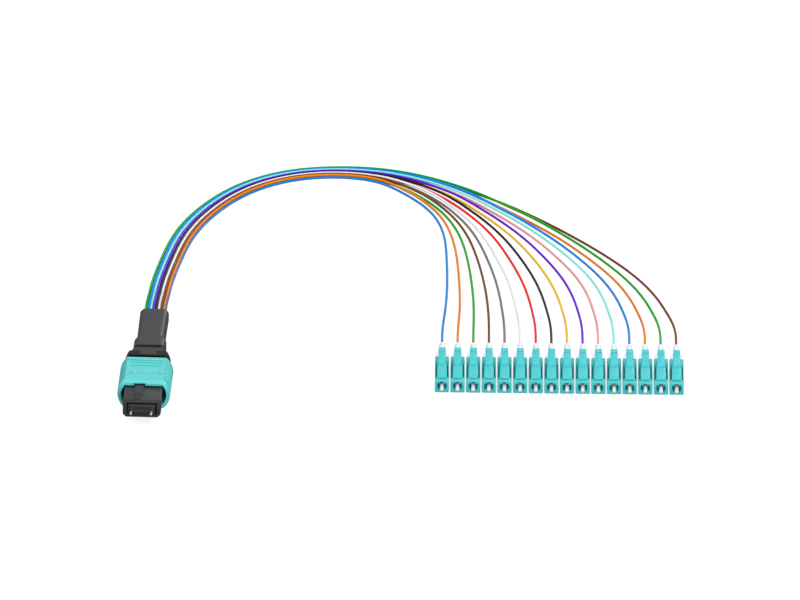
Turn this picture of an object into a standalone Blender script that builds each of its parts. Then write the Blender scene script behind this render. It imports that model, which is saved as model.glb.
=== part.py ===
"""Fibre breakout cable: one flat sixteen-fibre plug, sixteen loose coloured fibres, and a row of small plugs.

Metres, +Z up. The flat plug lies along Y with its front towards -Y and its key up. X = 0 is its middle,
Y = 0 is halfway between its pin tips and the end of its boot, and Z = 0 is what the cable lies on.
"""

import math

import bmesh
import bpy
import numpy as np
from mathutils import Matrix, Vector

MM = 0.001

# Clearances
SEAT_GAP = 0.3 * MM
RUNNING_GAP = 0.3 * MM
PIN_GAP = 0.1 * MM
WINDOW_SIDE_GAP = 0.35 * MM
WINDOW_TOP_GAP = 0.4 * MM
# How far a cutter runs on past the solid that it cuts, and a block on into the solid that it joins
CUTTER_REACH = 1.0 * MM
ROOT_DEPTH = 0.5 * MM

# Fibres
FIBRE_COUNT = 16
FIBRE_DIAMETER = 0.8 * MM
FIBRE_PITCH = 0.84 * MM
FIBRE_SIDE_COUNT = 8

# Flat plug: pull sleeve
SLEEVE_WIDTH = 16.8 * MM
SLEEVE_HEIGHT = 9.4 * MM
SLEEVE_LENGTH = 20.6 * MM
SLEEVE_BULGE = 2.2 * MM
SLEEVE_FRONT_SLOPE = 0.9 * MM
SLEEVE_FRONT_INSET = 0.6 * MM
SLEEVE_BACK_CHAMFER = 0.4 * MM
SLEEVE_TRAVEL = 2.5 * MM
MOUTH_WIDTH = 14.2 * MM
MOUTH_BULGE = 1.2 * MM

# Flat plug: inner housing and its key
HOUSING_WIDTH = 12.0 * MM
HOUSING_HEIGHT = 5.6 * MM
HOUSING_REACH = 11.55 * MM
HOUSING_CORNER = 1.1 * MM
HOUSING_SHOULDER = 0.3 * MM
HOUSING_FRONT_SLOPE = 0.75 * MM
WINDOW_DEPTH = 7.0 * MM
KEY_WIDTH = 3.1 * MM
KEY_HEIGHT = 0.7 * MM
KEY_OFFSET = -1.2 * MM
KEY_SETBACK = 1.6 * MM

# Flat plug: ferrule block and guide pins
FERRULE_WIDTH = 8.7 * MM
FERRULE_HEIGHT = 3.3 * MM
FERRULE_REACH = 1.7 * MM
PIN_DIAMETER = 0.95 * MM
PIN_TIP_DIAMETER = 0.5 * MM
PIN_TAPER = 0.8 * MM
PIN_SPACING = 6.4 * MM
PIN_REACH = 3.4 * MM
PIN_DEPTH = 5.0 * MM

# Flat plug: rear body and boot
SPIGOT_SIDE_STEP = 0.5 * MM
SPIGOT_TOP_STEP = 0.3 * MM
SPIGOT_BULGE = 0.5 * MM
COLLAR_WIDTH = 14.6 * MM
COLLAR_HEIGHT = 8.2 * MM
COLLAR_LENGTH = 4.2 * MM
COLLAR_BULGE = 1.4 * MM
NECK_WIDTH = 12.0 * MM
NECK_HEIGHT = 7.4 * MM
NECK_LENGTH = 3.9 * MM
NECK_BULGE = 1.4 * MM
STEM_WIDTH = 10.0 * MM
STEM_HEIGHT = 6.0 * MM
STEM_LENGTH = 2.9 * MM
STEM_BULGE = 0.8 * MM
BOOT_LENGTH = 31.95 * MM
BOOT_BASE_WIDTH = 10.3 * MM
BOOT_BASE_HEIGHT = 6.6 * MM
BOOT_BASE_LENGTH = 5.6 * MM
BOOT_TAPER = 4.4 * MM
BOOT_WIDTH = 8.9 * MM
BOOT_HEIGHT = 5.6 * MM
BOOT_END_FLARE = 0.3 * MM
BOOT_CORNER = 1.9 * MM
BOOT_END_ROUND = 0.5 * MM

# Small plugs, one on each fibre
SMALL_WIDTH = 4.5 * MM
SMALL_HEIGHT = 4.5 * MM
SMALL_LENGTH = 19.4 * MM
SMALL_BEVEL = 0.25 * MM
SMALL_AXIS = 2.15 * MM
SMALL_BORE = 2.95 * MM
SHOULDER_LENGTH = 4.8 * MM
FLANK_DEPTH = 0.35 * MM
FLANK_HEIGHT = 1.2 * MM
FLANK_START = 1.9 * MM
LATCH_WIDTH = 3.1 * MM
LATCH_TAIL_WIDTH = 2.3 * MM
LATCH_STEP_Y = 8.7 * MM
TIP_DIAMETER = 1.25 * MM
TIP_CHAMFER = 0.3 * MM
TIP_REACH = 2.8 * MM
TIP_LENGTH = 6.5 * MM
CORE_DIAMETER = 2.3 * MM
SMALL_BOOT_BASE = 4.1 * MM
SMALL_BOOT_SHOULDER = 3.8 * MM
SMALL_BOOT_SHOULDER_LENGTH = 3.5 * MM
SMALL_BOOT_CONE = 6.5 * MM
SMALL_BOOT_DIAMETER = 1.8 * MM
SMALL_BOOT_LENGTH = 15.6 * MM
# How square the small boot's section is: 2 is a circle
ROUND = 2.0
HALF_SQUARE = 3.0
SQUARISH = 5.0

# The latch seen from the side, in millimetres: distance behind the plug's front, then height over its top
LATCH_TOP = ((0.4, -0.2), (0.55, 0.5), (1.2, 1.05), (4.5, 1.4), (8.5, 1.7), (8.9, 2.65), (16.5, 3.25))
LATCH_END = ((16.9, 3.55), (18.2, 3.65), (18.2, 2.7), (9.6, 1.7), (8.6, 0.8), (4.6, 0.45), (3.4, -0.2))

# The row of small plugs
ROW_PLACE = Vector((93.73 * MM, -4.74 * MM, 0.0))
ROW_TURN = math.radians(2.3)
ROW_PITCH = 4.97 * MM

# Fibre routes, in millimetres. The bundle follows its innermost fibre: x, y, and the spread of each slot
BUNDLE = (
    (3.23, 73.25, 1.0),
    (5.28, 98.28, 1.0),
    (8.94, 122.84, 1.0),
    (16.9, 146.65, 1.0),
    (28.06, 164.21, 1.02),
    (40.43, 173.28, 1.06),
    (50.1, 175.72, 1.12),
    (64.84, 172.82, 1.55),
)
# The fan-out, seen from the row: distance behind the plugs' fronts, then each fibre's place along the row
FAN = (
    (170.0, (-13.6, -11.9, -10.4, -8.7, -7.1, -5.4, -3.7, -1.8, -0.2, 1.6, 3.1, 5.0, 6.3, 7.4, 8.8, 10.1)),
    (154.0, (-4.5, -2.6, -0.9, 1.0, 2.8, 4.8, 6.8, 9.1, 11.1, 13.5, 15.6, 18.2, 19.9, 21.3, 24.2, 25.7)),
    (132.9, (0.3, 2.7, 5.3, 7.8, 10.3, 12.9, 15.9, 18.9, 22.0, 25.2, 28.4, 31.6, 34.1, 36.4, 39.7, 41.8)),
    (115.9, (1.2, 4.4, 7.6, 10.7, 13.8, 16.9, 20.7, 24.4, 28.4, 32.2, 36.3, 40.1, 43.0, 46.0, 49.6, 52.8)),
    (94.4, (1.5, 5.3, 9.2, 13.1, 17.0, 21.0, 25.4, 29.7, 34.4, 39.0, 43.9, 48.2, 51.8, 55.7, 59.7, 63.8)),
    (72.8, (1.1, 5.6, 10.0, 14.5, 18.9, 23.4, 28.3, 33.0, 38.0, 42.9, 47.9, 52.6, 57.1, 61.6, 66.2, 70.7)),
)
EXIT_STRAIGHT = 4.0 * MM
ENTRY_STRAIGHT = 7.0 * MM
# Each fibre's slot across the bundle, in half pitches from the inside of the bend, even slots below
SLOTS = (0, 1, 2, 3, 4, 5, 6, 7, 8, 9, 10, 11, 13, 12, 15, 14)
# Share of the top layer's height left at each fan line, and for the two fibres that cross over a neighbour
LAYER_SHARES = (0.6, 0.1, 0.0, 0.0, 0.0, 0.0)
CROSSING_SHARES = (1.3, 0.4, 0.0, 0.0, 0.0, 0.0)
CROSSING_FIBRES = (13, 15)
# Tube points on each stretch between two route points
STRETCH_POINTS = (2, 4, 3, 3, 3, 3, 2, 2, 2, 2, 3, 3, 2, 3, 3, 4, 1)

FIBRE_COLOURS = (
    ("blue", (0.02, 0.22, 0.72)),
    ("orange", (0.85, 0.20, 0.01)),
    ("green", (0.01, 0.33, 0.02)),
    ("brown", (0.15, 0.04, 0.01)),
    ("slate", (0.17, 0.17, 0.17)),
    ("white", (0.75, 0.75, 0.76)),
    ("red", (0.75, 0.01, 0.01)),
    ("black", (0.01, 0.01, 0.01)),
    ("yellow", (0.80, 0.46, 0.01)),
    ("violet", (0.14, 0.01, 0.50)),
    ("rose", (0.75, 0.27, 0.30)),
    ("aqua", (0.12, 0.70, 0.62)),
)


def plastic(name, colour, roughness):
    material = bpy.data.materials.new(name)
    material.use_nodes = True
    shader = material.node_tree.nodes["Principled BSDF"]
    shader.inputs["Base Color"].default_value = (*colour, 1.0)
    shader.inputs["Roughness"].default_value = roughness
    shader.inputs["Metallic"].default_value = 0.0
    material.diffuse_color = (*colour, 1.0)
    return material


def metal(name, colour, roughness):
    material = plastic(name, colour, roughness)
    material.node_tree.nodes["Principled BSDF"].inputs["Metallic"].default_value = 1.0
    return material


def add_object(name, data, material):
    made = bpy.data.objects.new(name, data)
    bpy.context.scene.collection.objects.link(made)
    if material is not None:
        data.materials.append(material)
    return made


def loft(name, rings, material=None):
    """A closed solid through rings of points, all with the same count, with a flat cap on each end."""
    mesh = bpy.data.meshes.new(name)
    shape = bmesh.new()
    loops = [[shape.verts.new(point) for point in ring] for ring in rings]
    for first, second in zip(loops, loops[1:]):
        for i in range(len(first)):
            j = (i + 1) % len(first)
            shape.faces.new((first[i], first[j], second[j], second[i]))
    shape.faces.new(loops[0])
    shape.faces.new(loops[-1])
    bmesh.ops.recalc_face_normals(shape, faces=shape.faces)
    shape.to_mesh(mesh)
    shape.free()
    return add_object(name, mesh, material)


def along_y(outline, y, height=0.0):
    """An outline of (x, z) points as a ring at y, raised by height."""
    return [(x, y, z + height) for x, z in outline]


def box(name, low, high, material=None):
    outline = ((low[0], low[2]), (high[0], low[2]), (high[0], high[2]), (low[0], high[2]))
    return loft(name, [along_y(outline, low[1]), along_y(outline, high[1])], material)


def cylinder(name, radius, sides, x, z, y_start, y_end, material=None):
    ring = circle(radius, sides)
    rings = [[(px + x, y, pz + z) for px, pz in ring] for y in (y_start, y_end)]
    return loft(name, rings, material)


def circle(radius, sides):
    turns = [2.0 * math.pi * (i + 0.5) / sides for i in range(sides)]
    return [(radius * math.cos(turn), radius * math.sin(turn)) for turn in turns]


def soft_square(width, power, sides):
    """A circle at power 2, filled out towards a square by a higher power."""
    share, half = 2.0 / power, width / 2.0
    reach = [(abs(x) ** share, abs(z) ** share, x, z) for x, z in circle(1.0, sides)]
    return [(math.copysign(half * a, x), math.copysign(half * b, z)) for a, b, x, z in reach]


def bulged(width, height, bulge, steps=6):
    """Flat top and bottom with bowed sides: the outline of the sleeve and of what it slides over."""
    half, flat = height / 2.0, width / 2.0 - bulge
    radius = (half * half + bulge * bulge) / (2.0 * bulge)
    sweep = math.asin(half / radius)
    turns = [sweep * (2.0 * i / steps - 1.0) for i in range(steps + 1)]
    right = [(flat + bulge - radius + radius * math.cos(t), radius * math.sin(t)) for t in turns]
    return right + [(-x, -z) for x, z in right]


def rounded(width, height, radius, steps=4):
    """A rectangle with round corners, anticlockwise from the lower right."""
    radius = min(radius, 0.49 * width, 0.49 * height)
    points = []
    for corner, (sx, sz) in enumerate(((1, -1), (1, 1), (-1, 1), (-1, -1))):
        start = math.radians(90.0 * corner - 90.0)
        for i in range(steps + 1):
            turn = start + math.radians(90.0) * i / steps
            centre = (sx * (width / 2.0 - radius), sz * (height / 2.0 - radius))
            points.append((centre[0] + radius * math.cos(turn), centre[1] + radius * math.sin(turn)))
    return points


def chamfered(width, height, corner, shoulder, top_drop=0.0):
    """A rectangle with cut lower corners and lightly cut upper ones. Its top edge can be lowered."""
    w, h = width / 2.0, height / 2.0
    top = h - top_drop
    right = [(w - corner, -h), (w, corner - h), (w, top - shoulder), (w - shoulder, top)]
    return right + [(-x, z) for x, z in reversed(right)]


def combine(target, other, operation):
    other.hide_render = True
    other.display_type = "WIRE"
    modifier = target.modifiers.new(operation.title(), "BOOLEAN")
    modifier.operation = operation
    modifier.object = other
    modifier.solver = "EXACT"


def cut(target, cutter):
    combine(target, cutter, "DIFFERENCE")


def fuse(target, other):
    combine(target, other, "UNION")


def finished_mesh(source):
    """The mesh of an object with its modifiers applied, for several objects to share."""
    bpy.context.view_layer.update()
    graph = bpy.context.evaluated_depsgraph_get()
    mesh = bpy.data.meshes.new_from_object(source.evaluated_get(graph))
    mesh.shade_smooth()
    mesh.set_sharp_from_angle(angle=math.radians(35.0))
    return mesh


def natural_spline(knots, values, places):
    """Cubic spline through values at the knots, with no bend at its two ends, read at the places."""
    gaps = np.diff(knots)
    slopes = np.diff(values, axis=0) / gaps[:, None]
    count = len(knots)
    matrix, right = np.eye(count), np.zeros_like(values)
    for i in range(1, count - 1):
        matrix[i, i - 1 : i + 2] = gaps[i - 1], 2.0 * (gaps[i - 1] + gaps[i]), gaps[i]
        right[i] = 6.0 * (slopes[i] - slopes[i - 1])
    bends = np.linalg.solve(matrix, right)
    found = []
    for place in places:
        i = min(max(int(np.searchsorted(knots, place)) - 1, 0), count - 2)
        gap, a, b = gaps[i], knots[i + 1] - place, place - knots[i]
        found.append(
            (bends[i] * a**3 + bends[i + 1] * b**3) / (6.0 * gap)
            + (values[i] / gap - bends[i] * gap / 6.0) * a
            + (values[i + 1] / gap - bends[i + 1] * gap / 6.0) * b
        )
    return np.array(found)


def ease(share):
    share = min(max(share, 0.0), 1.0)
    return share * share * (3.0 - 2.0 * share)


def from_row(x, y):
    """A point of the row's own frame, in the cable's frame."""
    return ROW_PLACE + Matrix.Rotation(ROW_TURN, 3, "Z") @ Vector((x, y, 0.0))


# Places along the flat plug, from its pin tips to the end of its boot
PLUG_LENGTH = (
    PIN_REACH + FERRULE_REACH + HOUSING_REACH + SLEEVE_LENGTH + SLEEVE_TRAVEL + RUNNING_GAP
    + COLLAR_LENGTH + NECK_LENGTH + STEM_LENGTH + SEAT_GAP + BOOT_LENGTH
)
FERRULE_FACE_Y = -PLUG_LENGTH / 2.0 + PIN_REACH
HOUSING_FACE_Y = FERRULE_FACE_Y + FERRULE_REACH
SLEEVE_FRONT_Y = HOUSING_FACE_Y + HOUSING_REACH
SLEEVE_BACK_Y = SLEEVE_FRONT_Y + SLEEVE_LENGTH
COLLAR_FRONT_Y = SLEEVE_BACK_Y + SLEEVE_TRAVEL + RUNNING_GAP
COLLAR_BACK_Y = COLLAR_FRONT_Y + COLLAR_LENGTH
NECK_BACK_Y = COLLAR_BACK_Y + NECK_LENGTH
STEM_BACK_Y = NECK_BACK_Y + STEM_LENGTH
BOOT_FRONT_Y = STEM_BACK_Y + SEAT_GAP
BOOT_BACK_Y = BOOT_FRONT_Y + BOOT_LENGTH
PLUG_AXIS_Z = SLEEVE_HEIGHT / 2.0
LAYER_RISE = math.sqrt(FIBRE_PITCH**2 - (FIBRE_PITCH / 2.0) ** 2)


def pull_sleeve(material):
    """The aqua grip: bowed sides, sloped front, chamfered back, and a bore with a notch for the key."""
    stations = (
        (SLEEVE_FRONT_Y, SLEEVE_FRONT_INSET),
        (SLEEVE_FRONT_Y + SLEEVE_FRONT_SLOPE, 0.0),
        (SLEEVE_BACK_Y - SLEEVE_BACK_CHAMFER, 0.0),
        (SLEEVE_BACK_Y, SLEEVE_BACK_CHAMFER),
    )
    rings = [
        along_y(bulged(SLEEVE_WIDTH - 2 * inset, SLEEVE_HEIGHT - 2 * inset, SLEEVE_BULGE), y, PLUG_AXIS_Z)
        for y, inset in stations
    ]
    sleeve = loft("pull_sleeve", rings, material)
    ends = (SLEEVE_FRONT_Y - CUTTER_REACH, SLEEVE_BACK_Y + CUTTER_REACH)
    mouth = bulged(MOUTH_WIDTH, HOUSING_HEIGHT + 2 * RUNNING_GAP, MOUTH_BULGE)
    cut(sleeve, loft("sleeve_bore_cutter", [along_y(mouth, y, PLUG_AXIS_Z) for y in ends]))
    key_top = PLUG_AXIS_Z + HOUSING_HEIGHT / 2.0 + KEY_HEIGHT
    half = KEY_WIDTH / 2.0 + RUNNING_GAP
    notch = box(
        "key_notch_cutter",
        (KEY_OFFSET - half, ends[0], PLUG_AXIS_Z),
        (KEY_OFFSET + half, ends[1], key_top + RUNNING_GAP),
    )
    cut(sleeve, notch)
    return sleeve


def plug_housing(material):
    """The black inner housing, with its key on top and a window for the ferrule block."""
    front = chamfered(HOUSING_WIDTH, HOUSING_HEIGHT, HOUSING_CORNER, HOUSING_SHOULDER, HOUSING_FRONT_SLOPE)
    full = chamfered(HOUSING_WIDTH, HOUSING_HEIGHT, HOUSING_CORNER, HOUSING_SHOULDER)
    back = SLEEVE_BACK_Y - SEAT_GAP
    rings = [
        along_y(front, HOUSING_FACE_Y, PLUG_AXIS_Z),
        along_y(full, HOUSING_FACE_Y + HOUSING_FRONT_SLOPE, PLUG_AXIS_Z),
        along_y(full, back, PLUG_AXIS_Z),
    ]
    housing = loft("plug_housing", rings, material)
    top = PLUG_AXIS_Z + HOUSING_HEIGHT / 2.0
    key = box(
        "key_block",
        (KEY_OFFSET - KEY_WIDTH / 2.0, HOUSING_FACE_Y + KEY_SETBACK, top - ROOT_DEPTH),
        (KEY_OFFSET + KEY_WIDTH / 2.0, back - ROOT_DEPTH, top + KEY_HEIGHT),
    )
    fuse(housing, key)
    half_width = FERRULE_WIDTH / 2.0 + WINDOW_SIDE_GAP
    half_height = FERRULE_HEIGHT / 2.0 + WINDOW_TOP_GAP
    window = box(
        "window_cutter",
        (-half_width, HOUSING_FACE_Y - CUTTER_REACH, PLUG_AXIS_Z - half_height),
        (half_width, HOUSING_FACE_Y + WINDOW_DEPTH, PLUG_AXIS_Z + half_height),
    )
    cut(housing, window)
    return housing


def ferrule_block(material):
    """The ferrule block, standing out of the window, with a bore for each guide pin."""
    half_width, half_height = FERRULE_WIDTH / 2.0, FERRULE_HEIGHT / 2.0
    back = HOUSING_FACE_Y + WINDOW_DEPTH - SEAT_GAP
    block = box(
        "ferrule_block",
        (-half_width, FERRULE_FACE_Y, PLUG_AXIS_Z - half_height),
        (half_width, back, PLUG_AXIS_Z + half_height),
        material,
    )
    for side, name in ((-1, "left"), (1, "right")):
        bore = cylinder(
            f"pin_bore_cutter_{name}",
            PIN_DIAMETER / 2.0 + PIN_GAP,
            12,
            side * PIN_SPACING / 2.0,
            PLUG_AXIS_Z,
            FERRULE_FACE_Y - PIN_DEPTH,
            FERRULE_FACE_Y + PIN_DEPTH + PIN_GAP,
        )
        cut(block, bore)
    return block


def guide_pins(material):
    """Two steel pins with tapered tips, seated in the ferrule block."""
    front = FERRULE_FACE_Y - PIN_REACH
    stations = (
        (front, PIN_TIP_DIAMETER),
        (front + PIN_TAPER, PIN_DIAMETER),
        (FERRULE_FACE_Y + PIN_DEPTH, PIN_DIAMETER),
    )
    for side, name in ((-1, "left"), (1, "right")):
        rings = []
        for y, diameter in stations:
            ring = circle(diameter / 2.0, 12)
            rings.append([(x + side * PIN_SPACING / 2.0, y, z + PLUG_AXIS_Z) for x, z in ring])
        pin = loft(f"guide_pin_{name}", rings, material)
        pin.data.shade_smooth()
        pin.data.set_sharp_from_angle(angle=math.radians(40.0))


def rear_body(material):
    """The black body behind the sleeve: a spigot, a bowed collar, a narrower neck, and a stem for the boot."""
    spigot_width = HOUSING_WIDTH - 2 * SPIGOT_SIDE_STEP
    spigot = bulged(spigot_width, HOUSING_HEIGHT - 2 * SPIGOT_TOP_STEP, SPIGOT_BULGE)
    collar = bulged(COLLAR_WIDTH, COLLAR_HEIGHT, COLLAR_BULGE)
    neck = bulged(NECK_WIDTH, NECK_HEIGHT, NECK_BULGE)
    stem = bulged(STEM_WIDTH, STEM_HEIGHT, STEM_BULGE)
    stretches = (
        (spigot, SLEEVE_BACK_Y, COLLAR_FRONT_Y),
        (collar, COLLAR_FRONT_Y, COLLAR_BACK_Y),
        (neck, COLLAR_BACK_Y, NECK_BACK_Y),
        (stem, NECK_BACK_Y, STEM_BACK_Y),
    )
    rings = [along_y(outline, y, PLUG_AXIS_Z) for outline, *ends in stretches for y in ends]
    return loft("rear_body", rings, material)


def strain_relief_boot(material):
    """The flat black boot: a wide base, a short taper, and a long neck that flares a little to its end."""
    end = BOOT_WIDTH + BOOT_END_FLARE
    stations = (
        (0.0, BOOT_BASE_WIDTH, BOOT_BASE_HEIGHT),
        (BOOT_BASE_LENGTH, BOOT_BASE_WIDTH, BOOT_BASE_HEIGHT),
        (BOOT_BASE_LENGTH + BOOT_TAPER, BOOT_WIDTH, BOOT_HEIGHT),
        (BOOT_LENGTH - BOOT_END_ROUND, end, BOOT_HEIGHT),
        (BOOT_LENGTH, end - 2 * BOOT_END_ROUND, BOOT_HEIGHT - 2 * BOOT_END_ROUND),
    )
    rings = [
        along_y(rounded(width, height, BOOT_CORNER), BOOT_FRONT_Y + y, PLUG_AXIS_Z)
        for y, width, height in stations
    ]
    boot = loft("strain_relief_boot", rings, material)
    boot.data.shade_smooth()
    boot.data.set_sharp_from_angle(angle=math.radians(35.0))
    return boot


def small_housing_mesh(material):
    """The aqua body of a small plug, with its bore, its cut-back flanks and the latch rising over it."""
    half = SMALL_WIDTH / 2.0
    outline = [(x, z + SMALL_HEIGHT / 2.0) for x, z in rounded(SMALL_WIDTH, SMALL_HEIGHT, SMALL_BEVEL, 1)]
    body = loft("small_housing_form", [along_y(outline, y) for y in (0.0, SMALL_LENGTH)], material)
    flank_end = SMALL_LENGTH - SHOULDER_LENGTH
    for side, name in ((-1, "left"), (1, "right")):
        inner, outer = side * (half - FLANK_DEPTH), side * (half + CUTTER_REACH)
        low = (min(inner, outer), FLANK_START, SMALL_HEIGHT - FLANK_HEIGHT)
        high = (max(inner, outer), flank_end, SMALL_HEIGHT + CUTTER_REACH)
        cut(body, box(f"flank_cutter_{name}", low, high))
    for name, points, width in latch_plates():
        ring = [[(x, y, z) for y, z in points] for x in (-width / 2.0, width / 2.0)]
        fuse(body, loft(name, ring))
    ends = (-CUTTER_REACH, SMALL_LENGTH + CUTTER_REACH)
    cut(body, cylinder("small_bore_cutter", SMALL_BORE / 2.0, 12, 0.0, SMALL_AXIS, *ends))
    mesh = finished_mesh(body)
    body.hide_render = True
    return mesh


def latch_plates():
    """The latch's wide front plate and narrower tail, as (name, side outline, width)."""
    outline = [(y * MM, SMALL_HEIGHT + rise * MM) for y, rise in LATCH_TOP + LATCH_END]
    wide = [point for point in outline if point[0] <= LATCH_STEP_Y]
    tail = [point for point in outline if point[0] >= LATCH_STEP_Y - RUNNING_GAP]
    return (("latch_plate", wide, LATCH_WIDTH), ("latch_tail", tail, LATCH_TAIL_WIDTH))


def small_core_mesh(material):
    """The white insert of a small plug in one piece: tip, core in the bore, and tapered boot behind."""
    back = SMALL_LENGTH + SEAT_GAP
    profile = (
        (-TIP_REACH, TIP_DIAMETER - TIP_CHAMFER, ROUND),
        (TIP_CHAMFER - TIP_REACH, TIP_DIAMETER, ROUND),
        (TIP_LENGTH - TIP_REACH, TIP_DIAMETER, ROUND),
        (TIP_LENGTH - TIP_REACH, CORE_DIAMETER, ROUND),
        (back, CORE_DIAMETER, ROUND),
        (back, SMALL_BOOT_BASE, SQUARISH),
        (back + SMALL_BOOT_SHOULDER_LENGTH, SMALL_BOOT_SHOULDER, HALF_SQUARE),
        (back + SMALL_BOOT_SHOULDER_LENGTH + SMALL_BOOT_CONE, SMALL_BOOT_DIAMETER, ROUND),
        (back + SMALL_BOOT_LENGTH, SMALL_BOOT_DIAMETER, ROUND),
    )
    rings = [along_y(soft_square(width, power, 12), y, SMALL_AXIS) for y, width, power in profile]
    form = loft("small_core_form", rings, material)
    mesh = finished_mesh(form)
    form.hide_render = True
    return mesh


def small_plugs(aqua, white):
    """The row of small plugs: each an aqua housing and a white core, placed from one empty."""
    row = bpy.data.objects.new("row_place", None)
    bpy.context.scene.collection.objects.link(row)
    row.location = ROW_PLACE
    row.rotation_euler = (0.0, 0.0, ROW_TURN)
    housing, core = small_housing_mesh(aqua), small_core_mesh(white)
    for i in range(FIBRE_COUNT):
        for stem, mesh in (("small_housing", housing), ("small_core", core)):
            piece = bpy.data.objects.new(f"{stem}_{i + 1:02d}", mesh)
            bpy.context.scene.collection.objects.link(piece)
            piece.parent = row
            piece.location = (ROW_PITCH * i, 0.0, 0.0)


def bundle_points(slot):
    """The fibre's points along the bundle: each set outward from the innermost fibre, square to its run."""
    line = [Vector((x, y, 0.0)) for x, y, _ in BUNDLE]
    ahead = from_row(FAN[0][1][0] * MM, FAN[0][0] * MM) / MM
    behind = Vector((line[0].x, BOOT_BACK_Y / MM, 0.0))
    points = []
    for i, (x, y, spread) in enumerate(BUNDLE):
        before = line[i - 1] if i else behind
        after = line[i + 1] if i + 1 < len(line) else ahead
        run = (after - before).normalized()
        outward = Vector((-run.y, run.x, 0.0)) * slot * spread * FIBRE_PITCH / 2.0
        points.append(Vector((x, y, 0.0)) * MM + outward)
    return points


def fibre_route(number):
    """(points, rests): where the fibre runs, seen from above, and the height of its middle at each point."""
    slot = SLOTS[number - 1]
    floor = FIBRE_DIAMETER / 2.0
    rise = LAYER_RISE if slot % 2 else 0.0
    last_slot = FIBRE_COUNT - 1
    exit_x = (last_slot / 2.0 - slot) * FIBRE_PITCH / 2.0
    exit_y = BOOT_BACK_Y + SEAT_GAP
    exit_z = PLUG_AXIS_Z - LAYER_RISE / 2.0 + rise
    points = [Vector((exit_x, exit_y, 0.0)), Vector((exit_x, exit_y + EXIT_STRAIGHT, 0.0))]
    rests = [exit_z, exit_z - 0.1 * (exit_z - floor - rise)]
    for point in bundle_points(slot):
        points.append(point)
        rests.append(floor + rise)
    shares = CROSSING_SHARES if number in CROSSING_FIBRES else LAYER_SHARES
    for (y, places), share in zip(FAN, shares):
        points.append(from_row(places[number - 1] * MM, y * MM))
        rests.append(floor + share * rise)
    entry = SMALL_LENGTH + SEAT_GAP + SMALL_BOOT_LENGTH + SEAT_GAP
    for y in (entry + ENTRY_STRAIGHT, entry):
        points.append(from_row(ROW_PITCH * (number - 1), y))
        rests.append(SMALL_AXIS)
    return points, rests


def smooth_route(points, rests):
    """Points along the smooth curve through the route, a few on each stretch, eased up and down between rests."""
    flat = np.array([point[:2] for point in points])
    knots = np.concatenate([[0.0], np.cumsum(np.linalg.norm(np.diff(flat, axis=0), axis=1))])
    places, heights = [0.0], [rests[0]]
    for i, count in enumerate(STRETCH_POINTS):
        for step in range(1, count + 1):
            share = step / count
            places.append(knots[i] + share * (knots[i + 1] - knots[i]))
            heights.append(rests[i] + ease(share) * (rests[i + 1] - rests[i]))
    curve = natural_spline(knots, flat, places)
    return [(x, y, z) for (x, y), z in zip(curve, heights)]


def fibre(number):
    """One tight-buffered fibre, from the flat plug's boot to its own small plug."""
    name, colour = FIBRE_COLOURS[(number - 1) % len(FIBRE_COLOURS)]
    material = bpy.data.materials.get(f"{name}_buffer") or plastic(f"{name}_buffer", colour, 0.4)
    route = smooth_route(*fibre_route(number))
    curve = bpy.data.curves.new(f"fibre_{number:02d}", "CURVE")
    curve.dimensions = "3D"
    curve.bevel_depth = FIBRE_DIAMETER / 2.0
    curve.bevel_resolution = FIBRE_SIDE_COUNT // 2 - 2
    curve.use_fill_caps = True
    spline = curve.splines.new("POLY")
    spline.points.add(len(route) - 1)
    for point, place in zip(spline.points, route):
        point.co = (*place, 1.0)
    return add_object(f"fibre_{number:02d}", curve, material)


def clear_scene():
    for old in list(bpy.data.objects):
        bpy.data.objects.remove(old, do_unlink=True)


def main():
    clear_scene()
    aqua = plastic("aqua_plastic", (0.08, 0.60, 0.62), 0.45)
    black = plastic("black_plastic", (0.03, 0.03, 0.032), 0.4)
    dark_rubber = plastic("black_rubber", (0.05, 0.05, 0.052), 0.5)
    white = plastic("white_plastic", (0.85, 0.85, 0.87), 0.35)
    steel = metal("pin_steel", (0.75, 0.76, 0.78), 0.25)
    pull_sleeve(aqua)
    plug_housing(black)
    ferrule_block(black)
    guide_pins(steel)
    rear_body(black)
    strain_relief_boot(dark_rubber)
    small_plugs(aqua, white)
    for number in range(1, FIBRE_COUNT + 1):
        fibre(number)


main()
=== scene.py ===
"""Looks of the fibre breakout cable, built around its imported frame. Metres, +Z up."""

import math

import bmesh
import bpy
import numpy as np
from mathutils import Matrix, Vector


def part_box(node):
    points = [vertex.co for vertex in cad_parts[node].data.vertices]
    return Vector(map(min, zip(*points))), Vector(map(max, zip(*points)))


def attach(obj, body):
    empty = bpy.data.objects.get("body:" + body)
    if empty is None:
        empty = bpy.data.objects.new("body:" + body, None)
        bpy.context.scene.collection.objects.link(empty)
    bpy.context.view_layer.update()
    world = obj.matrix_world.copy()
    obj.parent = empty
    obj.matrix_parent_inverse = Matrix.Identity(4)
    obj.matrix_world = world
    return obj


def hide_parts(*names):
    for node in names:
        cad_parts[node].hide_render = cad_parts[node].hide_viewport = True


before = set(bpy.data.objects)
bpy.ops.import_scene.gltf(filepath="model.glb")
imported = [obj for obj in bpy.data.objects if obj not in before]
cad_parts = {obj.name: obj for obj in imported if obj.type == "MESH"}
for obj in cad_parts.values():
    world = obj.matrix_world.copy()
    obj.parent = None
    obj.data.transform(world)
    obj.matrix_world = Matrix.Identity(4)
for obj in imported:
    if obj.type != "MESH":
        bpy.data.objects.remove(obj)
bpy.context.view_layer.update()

MM = 0.001
CABLE = "cable"
SLEEVE = "sleeve"

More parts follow.
